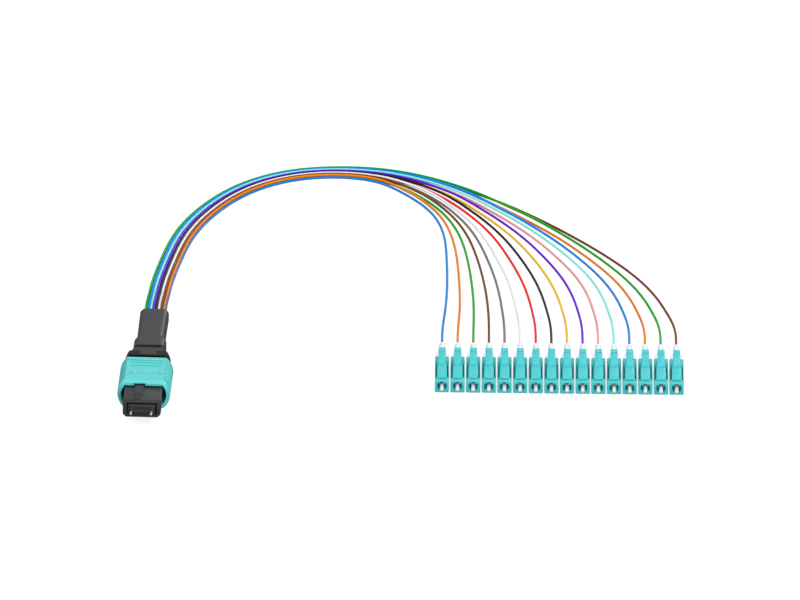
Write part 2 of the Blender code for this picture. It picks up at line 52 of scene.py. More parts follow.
# Camera, set by matching the photograph
CAMERA_TARGET = Vector((77.04 * MM, 72.58 * MM, 0.0))
CAMERA_YAW = math.radians(2.3)
CAMERA_ELEVATION = math.radians(22.0)
CAMERA_ROLL = math.radians(0.63)
CAMERA_DISTANCE = 8.8
CAMERA_LENS = 1237.5
CAMERA_SENSOR = 36.0

# Fibres
FIBRE_COUNT = 16
FIBRE_DIAMETER = 0.8 * MM
FIBRE_PITCH = 0.84 * MM
LAYER_RISE = math.sqrt(FIBRE_PITCH**2 - (FIBRE_PITCH / 2.0) ** 2)
SEAT_GAP = 0.3 * MM

# The flat plug's places and sizes, from the frame
SLEEVE_LOW, SLEEVE_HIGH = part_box("pull_sleeve")
HOUSING_LOW, HOUSING_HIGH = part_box("plug_housing")
FERRULE_LOW, FERRULE_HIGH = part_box("ferrule_block")
PIN_LOW, PIN_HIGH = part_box("guide_pin_right")
REAR_LOW, REAR_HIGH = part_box("rear_body")
BOOT_LOW, BOOT_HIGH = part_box("strain_relief_boot")
PLUG_AXIS_Z = SLEEVE_HIGH.z / 2.0

# The row of small plugs
ROW_PLACE = Vector((93.73 * MM, -4.74 * MM, 0.0))
ROW_TURN = math.radians(2.3)
ROW_PITCH = 4.97 * MM
SMALL_WIDTH = 4.5 * MM
SMALL_HEIGHT = 4.5 * MM
SMALL_LENGTH = 19.4 * MM
SMALL_AXIS = 2.15 * MM
SMALL_BOOT_LENGTH = 15.6 * MM

# Fibre routes, in millimetres. The bundle follows its innermost fibre: x, y, and the spread of each slot
BUNDLE = (
    (3.23, 73.25, 1.0),
    (5.28, 98.28, 1.0),
    (8.94, 122.84, 1.0),
    (16.9, 146.65, 1.0),
    (28.06, 164.21, 1.02),
    (40.43, 173.28, 1.06),
    (50.1, 175.72, 1.12),
    (64.84, 172.82, 1.55),
)
# The fan-out, seen from the row: distance behind the plugs' fronts, then each fibre's place along the row
FAN = (
    (170.0, (-13.6, -11.9, -10.4, -8.7, -7.1, -5.4, -3.7, -1.8, -0.2, 1.6, 3.1, 5.0, 6.3, 7.4, 8.8, 10.1)),
    (154.0, (-4.5, -2.6, -0.9, 1.0, 2.8, 4.8, 6.8, 9.1, 11.1, 13.5, 15.6, 18.2, 19.9, 21.3, 24.2, 25.7)),
    (132.9, (0.3, 2.7, 5.3, 7.8, 10.3, 12.9, 15.9, 18.9, 22.0, 25.2, 28.4, 31.6, 34.1, 36.4, 39.7, 41.8)),
    (115.9, (1.2, 4.4, 7.6, 10.7, 13.8, 16.9, 20.7, 24.4, 28.4, 32.2, 36.3, 40.1, 43.0, 46.0, 49.6, 52.8)),
    (94.4, (1.5, 5.3, 9.2, 13.1, 17.0, 21.0, 25.4, 29.7, 34.4, 39.0, 43.9, 48.2, 51.8, 55.7, 59.7, 63.8)),
    (72.8, (1.1, 5.6, 10.0, 14.5, 18.9, 23.4, 28.3, 33.0, 38.0, 42.9, 47.9, 52.6, 57.1, 61.6, 66.2, 70.7)),
)
EXIT_STRAIGHT = 4.0 * MM
ENTRY_STRAIGHT = 7.0 * MM
# Each fibre's slot across the bundle, in half pitches from the inside of the bend, even slots below
SLOTS = (0, 1, 2, 3, 4, 5, 6, 7, 8, 9, 10, 11, 13, 12, 15, 14)
# Share of the top layer's height left at each fan line, and for the two fibres that cross over a neighbour
LAYER_SHARES = (0.6, 0.1, 0.0, 0.0, 0.0, 0.0)
CROSSING_SHARES = (1.3, 0.4, 0.0, 0.0, 0.0, 0.0)
CROSSING_FIBRES = (13, 15)
STRETCH_POINTS = (8, 16, 12, 12, 12, 12, 10, 10, 10, 10, 12, 12, 8, 10, 12, 14, 4)
# How far each fibre runs on into the boots at its two ends
FIBRE_SEATED = 1.5 * MM

FIBRE_COLOURS = (
    ("blue", (0, 136, 228)),
    ("orange", (246, 134, 0)),
    ("green", (0, 172, 8)),
    ("brown", (122, 62, 0)),
    ("slate", (124, 124, 127)),
    ("white", (250, 250, 252)),
    ("red", (250, 4, 8)),
    ("black", (12, 12, 14)),
    ("yellow", (255, 204, 4)),
    ("violet", (106, 4, 222)),
    ("rose", (250, 166, 164)),
    ("aqua", (142, 252, 240)),
)


def srgb(red, green, blue):
    """A colour as a screen shows it, 0 to 255, as Blender's linear values."""
    shares = (red / 255.0, green / 255.0, blue / 255.0)
    return tuple(s / 12.92 if s <= 0.04045 else ((s + 0.055) / 1.055) ** 2.4 for s in shares)


# Materials

DRIFT_SIZE = 6.0 * MM
GLOSS_SPREAD = 0.07


def plastic(name, colour, roughness, grain=0.15 * MM, relief=0.004 * MM, tint=0.06, coat=0.0, sheen=0.3):
    """Moulded plastic: a fine eroded grain in the surface, and faint drifts of tone and gloss."""
    material = bpy.data.materials.new(name)
    material.use_nodes = True
    nodes, links = material.node_tree.nodes, material.node_tree.links
    shader = nodes["Principled BSDF"]
    shader.inputs["Metallic"].default_value = 0.0
    shader.inputs["Specular IOR Level"].default_value = sheen
    shader.inputs["Coat Weight"].default_value = coat
    shader.inputs["Coat Roughness"].default_value = 0.15
    place = nodes.new("ShaderNodeTexCoord")

    drift = nodes.new("ShaderNodeTexNoise")
    drift.inputs["Scale"].default_value = 1.0 / DRIFT_SIZE
    drift.inputs["Detail"].default_value = 3.0
    links.new(place.outputs["Object"], drift.inputs["Vector"])
    tone = nodes.new("ShaderNodeValToRGB")
    tone.color_ramp.elements[0].position = 0.3
    tone.color_ramp.elements[1].position = 0.7
    tone.color_ramp.elements[0].color = (*(c * (1.0 - tint) for c in colour), 1.0)
    tone.color_ramp.elements[1].color = (*(min(1.0, c * (1.0 + tint)) for c in colour), 1.0)
    links.new(drift.outputs["Fac"], tone.inputs["Fac"])
    links.new(tone.outputs["Color"], shader.inputs["Base Color"])

    pores = nodes.new("ShaderNodeTexNoise")
    pores.inputs["Scale"].default_value = 1.0 / grain
    pores.inputs["Detail"].default_value = 4.0
    links.new(place.outputs["Object"], pores.inputs["Vector"])
    gloss = nodes.new("ShaderNodeMapRange")
    gloss.inputs["To Min"].default_value = max(0.05, roughness - GLOSS_SPREAD)
    gloss.inputs["To Max"].default_value = roughness + GLOSS_SPREAD
    links.new(pores.outputs["Fac"], gloss.inputs["Value"])
    links.new(gloss.outputs["Result"], shader.inputs["Roughness"])
    bump = nodes.new("ShaderNodeBump")
    bump.inputs["Strength"].default_value = 0.5
    bump.inputs["Distance"].default_value = relief
    links.new(pores.outputs["Fac"], bump.inputs["Height"])
    links.new(bump.outputs["Normal"], shader.inputs["Normal"])
    return material


def ground_steel(name):
    """Ground steel: a fine grain left by the grinding wheel, with faint drifts of gloss."""
    finish = {"grain": 0.05 * MM, "relief": 0.001 * MM, "tint": 0.04, "sheen": 0.5}
    material = plastic(name, srgb(200, 202, 206), 0.34, **finish)
    material.node_tree.nodes["Principled BSDF"].inputs["Metallic"].default_value = 1.0
    return material


AQUA = plastic("aqua_shell", srgb(70, 203, 207), 0.42, tint=0.03)
SLEEVE_AQUA = plastic("aqua_sleeve", srgb(92, 214, 211), 0.34, tint=0.03, sheen=0.5)
BLACK = plastic("black_shell", srgb(58, 58, 60), 0.38, tint=0.1, sheen=0.2)
# Painted shade: a near-black, nearly sheenless colour, darker than the black shell, stands in for the shade
# between the sleeve and the neck
COLLAR_PAINTED_SHADE = plastic("collar_painted_shade", srgb(18, 18, 19), 0.28, tint=0.1, sheen=0.12)
FERRULE_BLACK = plastic("black_ferrule", srgb(44, 44, 46), 0.3, grain=0.08 * MM, tint=0.12)
RUBBER = plastic("black_boot", srgb(56, 56, 59), 0.4, relief=0.006 * MM, tint=0.08, sheen=0.35)
WHITE = plastic("white_boot", srgb(252, 252, 255), 0.35, tint=0.02)
CERAMIC = plastic("white_ceramic", srgb(244, 244, 242), 0.12, relief=0.001 * MM, tint=0.01, coat=0.5)
GLASS_END = plastic("fibre_end", srgb(120, 128, 134), 0.1, relief=0.001 * MM, tint=0.02)
STEEL = ground_steel("pin_metal")


# Mesh helpers

SHARP_ANGLE = math.radians(35.0)
# How far a cutter runs past what it cuts, and a joined form into what it is joined to
PAST = 1.0 * MM


def clean(mesh):
    """Faces turned outward, shaded smooth but for edges sharper than the sharp angle."""
    shape = bmesh.new()
    shape.from_mesh(mesh)
    bmesh.ops.recalc_face_normals(shape, faces=shape.faces)
    shape.to_mesh(mesh)
    shape.free()
    mesh.shade_smooth()
    mesh.set_sharp_from_angle(angle=SHARP_ANGLE)
    return mesh


def ring_mesh(name, rings, loop=False):
    """Quads between rings of points with one count. The ends are capped, or joined to each other by loop."""
    count = len(rings[0])
    points = [tuple(point) for ring in rings for point in ring]
    faces = []
    for r in range(len(rings) if loop else len(rings) - 1):
        first, second = r * count, ((r + 1) % len(rings)) * count
        for i in range(count):
            j = (i + 1) % count
            faces.append((first + i, first + j, second + j, second + i))
    if not loop:
        faces.append(tuple(range(count)))
        faces.append(tuple(range(len(points) - count, len(points))))
    mesh = bpy.data.meshes.new(name)
    mesh.from_pydata(points, [], faces)
    return clean(mesh)


def add_piece(name, mesh, *materials):
    """An object in the scene with the mesh or curve and its materials."""
    made = bpy.data.objects.new(name, mesh)
    bpy.context.scene.collection.objects.link(made)
    for material in materials:
        if material.name not in mesh.materials:
            mesh.materials.append(material)
    return made


def dress(piece, node, body):
    """Hides the piece's CAD node and puts the piece on its body."""
    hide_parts(node)
    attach(piece, body)


def bake(target):
    """Applies the object's modifiers to its mesh."""
    bpy.context.view_layer.update()
    graph = bpy.context.evaluated_depsgraph_get()
    mesh = bpy.data.meshes.new_from_object(target.evaluated_get(graph))
    target.modifiers.clear()
    target.data = clean(mesh)


def combine(target, other, operation):
    """Cuts the other shape from the target or joins it on, and removes it."""
    modifier = target.modifiers.new(operation.title(), "BOOLEAN")
    modifier.operation = operation
    modifier.object = other
    modifier.solver = "EXACT"
    bake(target)
    bpy.data.objects.remove(other, do_unlink=True)


def soften(target, width, angle=40.0):
    """A small round on each edge sharper than the angle."""
    bevel = target.modifiers.new("Round", "BEVEL")
    bevel.width = width
    bevel.segments = 2
    bevel.limit_method = "ANGLE"
    bevel.angle_limit = math.radians(angle)
    bevel.use_clamp_overlap = True
    bake(target)


def along_y(outline, y, height=0.0):
    """The (x, z) points of a section as a ring at y, raised by the height."""
    return [(x, y, z + height) for x, z in outline]


def rounded(width, height, radius, steps=5):
    """A rectangle with round corners, about the origin."""
    radius = max(min(radius, 0.499 * width, 0.499 * height), 0.01 * MM)
    points = []
    for corner, (sx, sz) in enumerate(((1, -1), (1, 1), (-1, 1), (-1, -1))):
        start = math.radians(90.0 * corner - 90.0)
        for i in range(steps + 1):
            turn = start + math.radians(90.0) * i / steps
            x = sx * (width / 2.0 - radius) + radius * math.cos(turn)
            points.append((x, sz * (height / 2.0 - radius) + radius * math.sin(turn)))
    return points


def round_over(edge, steps):
    """(inset, depth) pairs over the rounded edge of an end, from its face out to its side."""
    pairs = []
    for i in range(steps + 1):
        turn = math.radians(90.0) * i / steps
        pairs.append((edge * (1.0 - math.sin(turn)), edge * (1.0 - math.cos(turn))))
    return pairs


def rounded_bar(name, outline_at, y_start, y_end, edge, steps, height=0.0):
    """A bar along Y whose two end edges are rounded. outline_at gives the section shrunk by an inset."""
    pairs = round_over(edge, steps)
    rings = [along_y(outline_at(inset), y_start + depth, height) for inset, depth in pairs]
    rings += [along_y(outline_at(inset), y_end - depth, height) for inset, depth in reversed(pairs)]
    return ring_mesh(name, rings)


def box_mesh(name, low, high, radius):
    """A block between two corners, with all its edges rounded."""
    width, height = high[0] - low[0], high[2] - low[2]
    middle_x, middle_z = (low[0] + high[0]) / 2.0, (low[2] + high[2]) / 2.0

    def section(inset):
        corners = rounded(width - 2 * inset, height - 2 * inset, radius - inset, 3)
        return [(x + middle_x, z + middle_z) for x, z in corners]

    return rounded_bar(name, section, low[1], high[1], radius, 3)


def turned_mesh(name, profile, sides, x=0.0, z=0.0):
    """A solid turned round an axis along Y, from its (y, radius) profile."""
    rings = []
    for y, radius in profile:
        turns = [2.0 * math.pi * i / sides for i in range(sides)]
        rings.append([(x + radius * math.cos(t), y, z + radius * math.sin(t)) for t in turns])
    return ring_mesh(name, rings)


def soft_square(radius, power, sides):
    """A circle at power 2, filled out towards a square by a higher power."""
    points = []
    for i in range(sides):
        turn = 2.0 * math.pi * (i + 0.5) / sides
        x, z = math.cos(turn), math.sin(turn)
        points.append((math.copysign(radius * abs(x) ** (2.0 / power), x),
                       math.copysign(radius * abs(z) ** (2.0 / power), z)))
    return points


ARC_STEPS = 18
FLAT_STEPS = 4


def bulged(width, height, bulge, top_marks=()):
    """Points (x, z, reach) round a form with flat top and bottom and bowed sides.

    reach runs from -1 to 1 up each side, and is None on the flats. top_marks are (x, rise) along the top.
    """
    half, flat = height / 2.0, width / 2.0 - bulge
    radius = (half * half + bulge * bulge) / (2.0 * bulge)
    sweep = math.asin(min(1.0, half / radius))
    centre = flat + bulge - radius
    points = []
    for i in range(ARC_STEPS + 1):
        reach = 2.0 * i / ARC_STEPS - 1.0
        turn = sweep * reach
        points.append((centre + radius * math.cos(turn), radius * math.sin(turn), reach))
    points += [(x, half + rise, None) for x, rise in top_marks]
    for i in range(ARC_STEPS + 1):
        reach = 1.0 - 2.0 * i / ARC_STEPS
        turn = sweep * reach
        points.append((-centre - radius * math.cos(turn), radius * math.sin(turn), reach))
    for i in range(1, FLAT_STEPS):
        points.append((flat * (2.0 * i / FLAT_STEPS - 1.0), -half, None))
    return points


# Camera, light and floor

# Each light's name, place, size and power in watts
LIGHTS = (
    ("front_light", (0.25, -1.3, 0.25), 0.4, 9.0),
    ("left_light", (-0.9, 0.1, 0.6), 0.3, 1.8),
    ("right_light", (0.9, 0.1, 0.6), 0.3, 2.2),
    ("back_light", (0.45, 1.1, 0.5), 0.35, 1.6),
)
FLOOR_HALF = 3.0


def add_camera():
    """A long lens, turned a little clockwise, looking down on the cable from its plugs' side."""
    data = bpy.data.cameras.new("camera")
    data.lens = CAMERA_LENS
    data.sensor_width = CAMERA_SENSOR
    data.clip_start = 1.0
    data.clip_end = 30.0
    camera = bpy.data.objects.new("camera", data)
    bpy.context.scene.collection.objects.link(camera)
    level = math.cos(CAMERA_ELEVATION)
    across, along = -math.sin(CAMERA_YAW) * level, math.cos(CAMERA_YAW) * level
    forward = Vector((across, along, -math.sin(CAMERA_ELEVATION)))
    camera.location = CAMERA_TARGET - forward * CAMERA_DISTANCE
    turn = forward.to_track_quat("-Z", "Y") @ Matrix.Rotation(CAMERA_ROLL, 4, "Z").to_quaternion()
    camera.rotation_mode = "QUATERNION"
    camera.rotation_quaternion = turn
    bpy.context.scene.camera = camera


def add_soft_light(name, place, size, power):
    """A square soft light that faces the middle of the cable."""
    data = bpy.data.lights.new(name, "AREA")
    data.size = size
    data.energy = power
    light = bpy.data.objects.new(name, data)
    bpy.context.scene.collection.objects.link(light)
    light.location = place
    light.rotation_mode = "QUATERNION"
    light.rotation_quaternion = (CAMERA_TARGET - light.location).to_track_quat("-Z", "Y")


def add_studio():
    """A pale dome, dark towards its horizon, and four soft lights: in front, at both sides and behind."""
    world = bpy.data.worlds.new("studio")
    world.use_nodes = True
    nodes, links = world.node_tree.nodes, world.node_tree.links
    place = nodes.new("ShaderNodeTexCoord")
    parts = nodes.new("ShaderNodeSeparateXYZ")
    links.new(place.outputs["Generated"], parts.inputs["Vector"])
    dome = nodes.new("ShaderNodeValToRGB")
    dome.color_ramp.elements[0].color = (0.2, 0.2, 0.2, 1.0)
    dome.color_ramp.elements[1].color = (1.0, 1.0, 1.0, 1.0)
    links.new(parts.outputs["Z"], dome.inputs["Fac"])
    links.new(dome.outputs["Color"], nodes["Background"].inputs["Color"])
    bpy.context.scene.world = world
    for light in LIGHTS:
        add_soft_light(*light)
    bpy.context.scene.view_settings.view_transform = "Standard"


def add_floor():
    """A plain white floor, lit from within so that shadows on it stay faint. It doesn't light the cable."""
    half = FLOOR_HALF
    mesh = bpy.data.meshes.new("floor")
    corners = ((-half, -half, 0.0), (half, -half, 0.0), (half, half, 0.0), (-half, half, 0.0))
    mesh.from_pydata(corners, [], [(0, 1, 2, 3)])
    material = bpy.data.materials.new("floor_white")
    material.use_nodes = True
    shader = material.node_tree.nodes["Principled BSDF"]
    shader.inputs["Base Color"].default_value = (0.4, 0.4, 0.4, 1.0)
    shader.inputs["Roughness"].default_value = 0.9
    shader.inputs["Emission Color"].default_value = (1.0, 1.0, 1.0, 1.0)
    shader.inputs["Emission Strength"].default_value = 0.8
    floor = add_piece("floor", mesh, material)
    floor.visible_diffuse = False
    floor.visible_glossy = False


# Fibres


def natural_spline(knots, values, places):
    """Cubic spline through values at the knots, with no bend at its two ends, read at the places."""
    gaps = np.diff(knots)
    slopes = np.diff(values, axis=0) / gaps[:, None]
    count = len(knots)
    matrix, right = np.eye(count), np.zeros_like(values)
    for i in range(1, count - 1):
        matrix[i, i - 1 : i + 2] = gaps[i - 1], 2.0 * (gaps[i - 1] + gaps[i]), gaps[i]
        right[i] = 6.0 * (slopes[i] - slopes[i - 1])
    bends = np.linalg.solve(matrix, right)
    found = []
    for place in places:
        i = min(max(int(np.searchsorted(knots, place)) - 1, 0), count - 2)
        gap, a, b = gaps[i], knots[i + 1] - place, place - knots[i]
        found.append(
            (bends[i] * a**3 + bends[i + 1] * b**3) / (6.0 * gap)
            + (values[i] / gap - bends[i] * gap / 6.0) * a
            + (values[i + 1] / gap - bends[i + 1] * gap / 6.0) * b
        )
    return np.array(found)


def ease(share):
    """0 below 0, 1 above 1, and an S-shaped curve between."""
    share = min(max(share, 0.0), 1.0)
    return share * share * (3.0 - 2.0 * share)


def from_row(x, y):
    """A point of the row's own frame, in the cable's frame."""
    return ROW_PLACE + Matrix.Rotation(ROW_TURN, 3, "Z") @ Vector((x, y, 0.0))


def bundle_points(slot):
    """The fibre's points along the bundle: each set outward from the innermost fibre, square to its run."""
    line = [Vector((x, y, 0.0)) * MM for x, y, _ in BUNDLE]
    ahead = from_row(FAN[0][1][0] * MM, FAN[0][0] * MM)
    behind = Vector((line[0].x, BOOT_HIGH.y, 0.0))
    points = []
    for i, (_, _, spread) in enumerate(BUNDLE):
        before = line[i - 1] if i else behind
        after = line[i + 1] if i + 1 < len(line) else ahead
        run = (after - before).normalized()
        points.append(line[i] + Vector((-run.y, run.x, 0.0)) * slot * spread * FIBRE_PITCH / 2.0)
    return points


def fibre_route(number):
    """(points, rests): where the fibre runs, seen from above, and the height of its middle at each point."""
    slot = SLOTS[number - 1]
    floor = FIBRE_DIAMETER / 2.0
    rise = LAYER_RISE if slot % 2 else 0.0
    exit_x = ((FIBRE_COUNT - 1) / 2.0 - slot) * FIBRE_PITCH / 2.0
    exit_y = BOOT_HIGH.y + SEAT_GAP
    exit_z = PLUG_AXIS_Z - LAYER_RISE / 2.0 + rise
    points = [Vector((exit_x, exit_y, 0.0)), Vector((exit_x, exit_y + EXIT_STRAIGHT, 0.0))]
    rests = [exit_z, exit_z - 0.1 * (exit_z - floor - rise)]
    for point in bundle_points(slot):
        points.append(point)
        rests.append(floor + rise)
    shares = CROSSING_SHARES if number in CROSSING_FIBRES else LAYER_SHARES
    for (y, places), share in zip(FAN, shares):
        points.append(from_row(places[number - 1] * MM, y * MM))
        rests.append(floor + share * rise)
    entry = SMALL_LENGTH + SMALL_BOOT_LENGTH + 2.0 * SEAT_GAP
    for y in (entry + ENTRY_STRAIGHT, entry):
        points.append(from_row(ROW_PITCH * (number - 1), y))
        rests.append(SMALL_AXIS)
    return points, rests


def smooth_route(points, rests):
    """Points along the smooth curve through the route, eased up and down between its heights at rest."""
    flat = np.array([point[:2] for point in points])
    knots = np.concatenate([[0.0], np.cumsum(np.linalg.norm(np.diff(flat, axis=0), axis=1))])
    places, heights = [0.0], [rests[0]]
    for i, count in enumerate(STRETCH_POINTS):
        for step in range(1, count + 1):
            share = step / count
            places.append(knots[i] + share * (knots[i + 1] - knots[i]))
            heights.append(rests[i] + ease(share) * (rests[i + 1] - rests[i]))
    curve = natural_spline(knots, flat, places)
    return [Vector((x, y, z)) for (x, y), z in zip(curve, heights)]


def add_fibre(number, materials):
    """One coloured fibre as a round tube along its route, seated in the boots at its two ends."""
    route = smooth_route(*fibre_route(number))
    start = route[0] + (route[0] - route[1]).normalized() * (FIBRE_SEATED + SEAT_GAP)
    end = route[-1] + (route[-1] - route[-2]).normalized() * (FIBRE_SEATED + SEAT_GAP)
    route = [start, *route, end]
    colour, _ = FIBRE_COLOURS[(number - 1) % len(FIBRE_COLOURS)]
    curve = bpy.data.curves.new(f"fibre_line_{number:02d}", "CURVE")
    curve.dimensions = "3D"
    curve.bevel_depth = FIBRE_DIAMETER / 2.0
    curve.bevel_resolution = 4
    curve.use_fill_caps = True
    spline = curve.splines.new("POLY")
    spline.points.add(len(route) - 1)
    for point, place in zip(spline.points, route):
        point.co = (*place, 1.0)
    spline.use_smooth = True
    fibre = add_piece(f"fibre_line_{number:02d}", curve, materials[colour])
    dress(fibre, f"fibre_{number:02d}", CABLE)


# Small plugs

# The latch from root to tail, in millimetres: distance behind the plug's front, underside, top, half width
LATCH = (
    (0.40, 4.84, 5.04, 1.50),
    (0.46, 4.80, 5.22, 1.53),
    (0.62, 4.80, 5.38, 1.55),
    (0.88, 4.80, 5.50, 1.55),
    (0.92, 4.20, 5.51, 1.55),
    (1.50, 4.20, 5.60, 1.55),
    (3.00, 4.20, 5.78, 1.55),
    (3.40, 4.60, 5.83, 1.55),
    (3.90, 4.82, 5.90, 1.55),
    (4.60, 4.95, 5.98, 1.55),
    (4.85, 4.98, 5.99, 1.54),
    (7.40, 5.18, 6.10, 1.50),
    (8.10, 5.25, 6.13, 1.42),
    (8.18, 5.26, 5.93, 1.38),
    (8.56, 5.32, 5.94, 1.24),
    (8.62, 5.34, 6.72, 1.17),
    (8.90, 5.50, 7.02, 1.16),
    (9.20, 5.80, 7.17, 1.15),
    (9.60, 6.18, 7.22, 1.15),
    (12.60, 6.52, 7.48, 1.15),
    (16.10, 6.91, 7.75, 1.15),
    (16.16, 6.92, 7.42, 1.12),
    (16.52, 6.96, 7.44, 1.12),
    (16.58, 6.97, 7.98, 1.16),
    (17.00, 7.03, 8.13, 1.17),
    (17.50, 7.10, 8.16, 1.17),
    (18.05, 7.19, 8.13, 1.17),
    (18.20, 7.28, 8.03, 1.14),
)
LATCH_EDGE = 0.13 * MM
# The cut beside the latch: a narrow slot inside a low rail, both measured from the plug's side
SLOT_INNER = 0.72 * MM
SLOT_OUTER = 0.26 * MM
SLOT_LOW = 2.4 * MM
RAIL_TOP = 4.0 * MM
FLANK_START = 1.9 * MM
FLANK_END = 14.6 * MM
NOSE_BEVEL = 0.75 * MM
BORE_RADIUS = 1.475 * MM
BORE_LEAD_IN = 0.22 * MM
INNER_BORE_RADIUS = 1.25 * MM
INNER_BORE_START = 9.5 * MM
SMALL_EDGE = 0.3 * MM
# The white insert: a tip that stands out in front, a core, and a boot from square to round. Its section is
# round at the power ROUND and nearly square at SQUARE, where its top is raised too
TIP_REACH = 2.8 * MM
TIP_RADIUS = 0.625 * MM
CORE_FRONT = 4.2 * MM
CORE_RADIUS = 1.1 * MM
PLUG_IN_RADIUS = 1.2 * MM
PLUG_IN_LENGTH = 1.2 * MM
SMALL_BOOT_WIDE = 2.05 * MM
SMALL_BOOT_NARROW = 0.9 * MM
SMALL_BOOT_HOLE = 0.45 * MM
CONE_START = 1.0 * MM
CONE_END = 11.6 * MM
CONE_STEPS = 20
SMALL_BOOT_EDGE = 0.25 * MM
ROUND = 2.0
SQUARE = 9.0
TOP_RAISED = 0.12


def latch_mesh():
    """The latch, root to tail, as rounded sections."""
    rings = []
    for y, low, high, half in LATCH:
        y, low, high, half = y * MM, low * MM, high * MM, half * MM
        section = rounded(2.0 * half, high - low, LATCH_EDGE, 3)
        rings.append([(x, y, z + (low + high) / 2.0) for x, z in section])
    return ring_mesh("latch_form", rings)


def small_shell_mesh():
    """The aqua housing of a small plug: rounded block, slotted flanks, latch, and a bore with a lead-in."""

    def section(inset):
        return rounded(SMALL_WIDTH - 2 * inset, SMALL_HEIGHT - 2 * inset, SMALL_EDGE - inset, 5)

    body_mesh = rounded_bar("small_shell", section, 0.0, SMALL_LENGTH, 0.16 * MM, 3, SMALL_HEIGHT / 2.0)
    body = add_piece("small_shell_form", body_mesh, AQUA)
    half = SMALL_WIDTH / 2.0
    nose = (
        (0.4 * NOSE_BEVEL, SMALL_HEIGHT + PAST),
        (-PAST, SMALL_HEIGHT + PAST),
        (-PAST, SMALL_HEIGHT - NOSE_BEVEL),
        (0.0, SMALL_HEIGHT - NOSE_BEVEL),
        (0.4 * NOSE_BEVEL, SMALL_HEIGHT),
    )
    cutter = ring_mesh("nose_cutter", [[(x, y, z) for y, z in nose] for x in (-half - PAST, half + PAST)])
    combine(body, add_piece("nose_cutter", cutter), "DIFFERENCE")
    for side in (-1, 1):
        cuts = (
            (side * (half - SLOT_OUTER), side * (half + PAST), RAIL_TOP),
            (side * (half - SLOT_INNER), side * (half - SLOT_OUTER), SLOT_LOW),
        )
        for inner, outer, bottom in cuts:
            low = (min(inner, outer), FLANK_START, bottom)
            high = (max(inner, outer), FLANK_END, SMALL_HEIGHT + PAST)
            block = box_mesh("flank_cutter", low, high, 0.08 * MM)
            combine(body, add_piece("flank_cutter", block), "DIFFERENCE")
    combine(body, add_piece("latch_form", latch_mesh()), "UNION")
    bore = (
        (-PAST, BORE_RADIUS + BORE_LEAD_IN + PAST),
        (BORE_LEAD_IN, BORE_RADIUS),
        (INNER_BORE_START, BORE_RADIUS),
        (INNER_BORE_START, INNER_BORE_RADIUS),
        (SMALL_LENGTH + PAST, INNER_BORE_RADIUS),
    )
    cutter = turned_mesh("bore_cutter", bore, 48, 0.0, SMALL_AXIS)
    combine(body, add_piece("bore_cutter", cutter), "DIFFERENCE")
    soften(body, 0.05 * MM, 50.0)
    mesh = body.data
    bpy.data.objects.remove(body, do_unlink=True)
    return mesh


def small_insert_mesh():
    """The white insert of a small plug: ceramic tip, core in the bore, and a boot from square to round."""
    back = SMALL_LENGTH + SEAT_GAP
    end = back + SMALL_BOOT_LENGTH
    wide, narrow, hole = SMALL_BOOT_WIDE, SMALL_BOOT_NARROW, SMALL_BOOT_HOLE
    profile = [
        (-TIP_REACH, 0.3 * MM, ROUND),
        (-TIP_REACH + 0.02 * MM, 0.42 * MM, ROUND),
        (-TIP_REACH + 0.25 * MM, TIP_RADIUS, ROUND),
        (CORE_FRONT, TIP_RADIUS, ROUND),
        (CORE_FRONT, CORE_RADIUS, ROUND),
        (back - PLUG_IN_LENGTH, CORE_RADIUS, ROUND),
        (back - PLUG_IN_LENGTH, PLUG_IN_RADIUS, ROUND),
        (back, PLUG_IN_RADIUS, ROUND),
        (back, wide - 0.15 * MM, SQUARE),
        (back + 0.04 * MM, wide - 0.04 * MM, SQUARE),
        (back + 0.15 * MM, wide, SQUARE),
    ]
    for i in range(CONE_STEPS + 1):
        share = i / CONE_STEPS
        radius = wide + (narrow - wide) * (0.1 * share + 0.9 * ease(share))
        power = SQUARE - (SQUARE - ROUND) * ease(1.3 * share)
        profile.append((back + CONE_START + share * (CONE_END - CONE_START), radius, power))
    for inset, depth in reversed(round_over(SMALL_BOOT_EDGE, 4)):
        profile.append((end - depth, narrow - inset, ROUND))
    profile += [
        (end, hole + 0.08 * MM, ROUND),
        (end - 0.08 * MM, hole, ROUND),
        (end - FIBRE_SEATED - 0.3 * MM, hole, ROUND),
    ]
    rings = []
    for y, radius, power in profile:
        raised = 1.0 + TOP_RAISED * min(1.0, (power - ROUND) / (SQUARE - ROUND))
        outline = [(x, z * raised if z > 0.0 else z) for x, z in soft_square(radius, power, 48)]
        rings.append(along_y(outline, y, SMALL_AXIS))
    mesh = ring_mesh("small_insert", rings)
    mesh.materials.append(WHITE)
    mesh.materials.append(CERAMIC)
    for face in mesh.polygons:
        if face.center.y < CORE_FRONT - 0.1 * MM:
            face.material_index = 1
    return mesh


def add_small_plugs():
    """The row of small plugs. Returns the pieces of each, for the fibre that ends in it."""
    shell, insert = small_shell_mesh(), small_insert_mesh()
    turn = Matrix.Rotation(ROW_TURN, 4, "Z")
    pairs = []
    for i in range(FIBRE_COUNT):
        place = Matrix.Translation(from_row(ROW_PITCH * i, 0.0)) @ turn
        pair = []
        forms = (("small_shell", "small_housing", "aqua_plastic", shell),
                 ("small_insert", "small_core", "white_plastic", insert))
        for stem, node, slot, mesh in forms:
            piece = bpy.data.objects.new(f"{stem}_{i + 1:02d}", mesh)
            bpy.context.scene.collection.objects.link(piece)
            piece.matrix_world = place
            dress(piece, f"{node}_{i + 1:02d}", CABLE)
            pair.append(piece)
        pairs.append(pair)
    return pairs


# Flat plug: pull sleeve

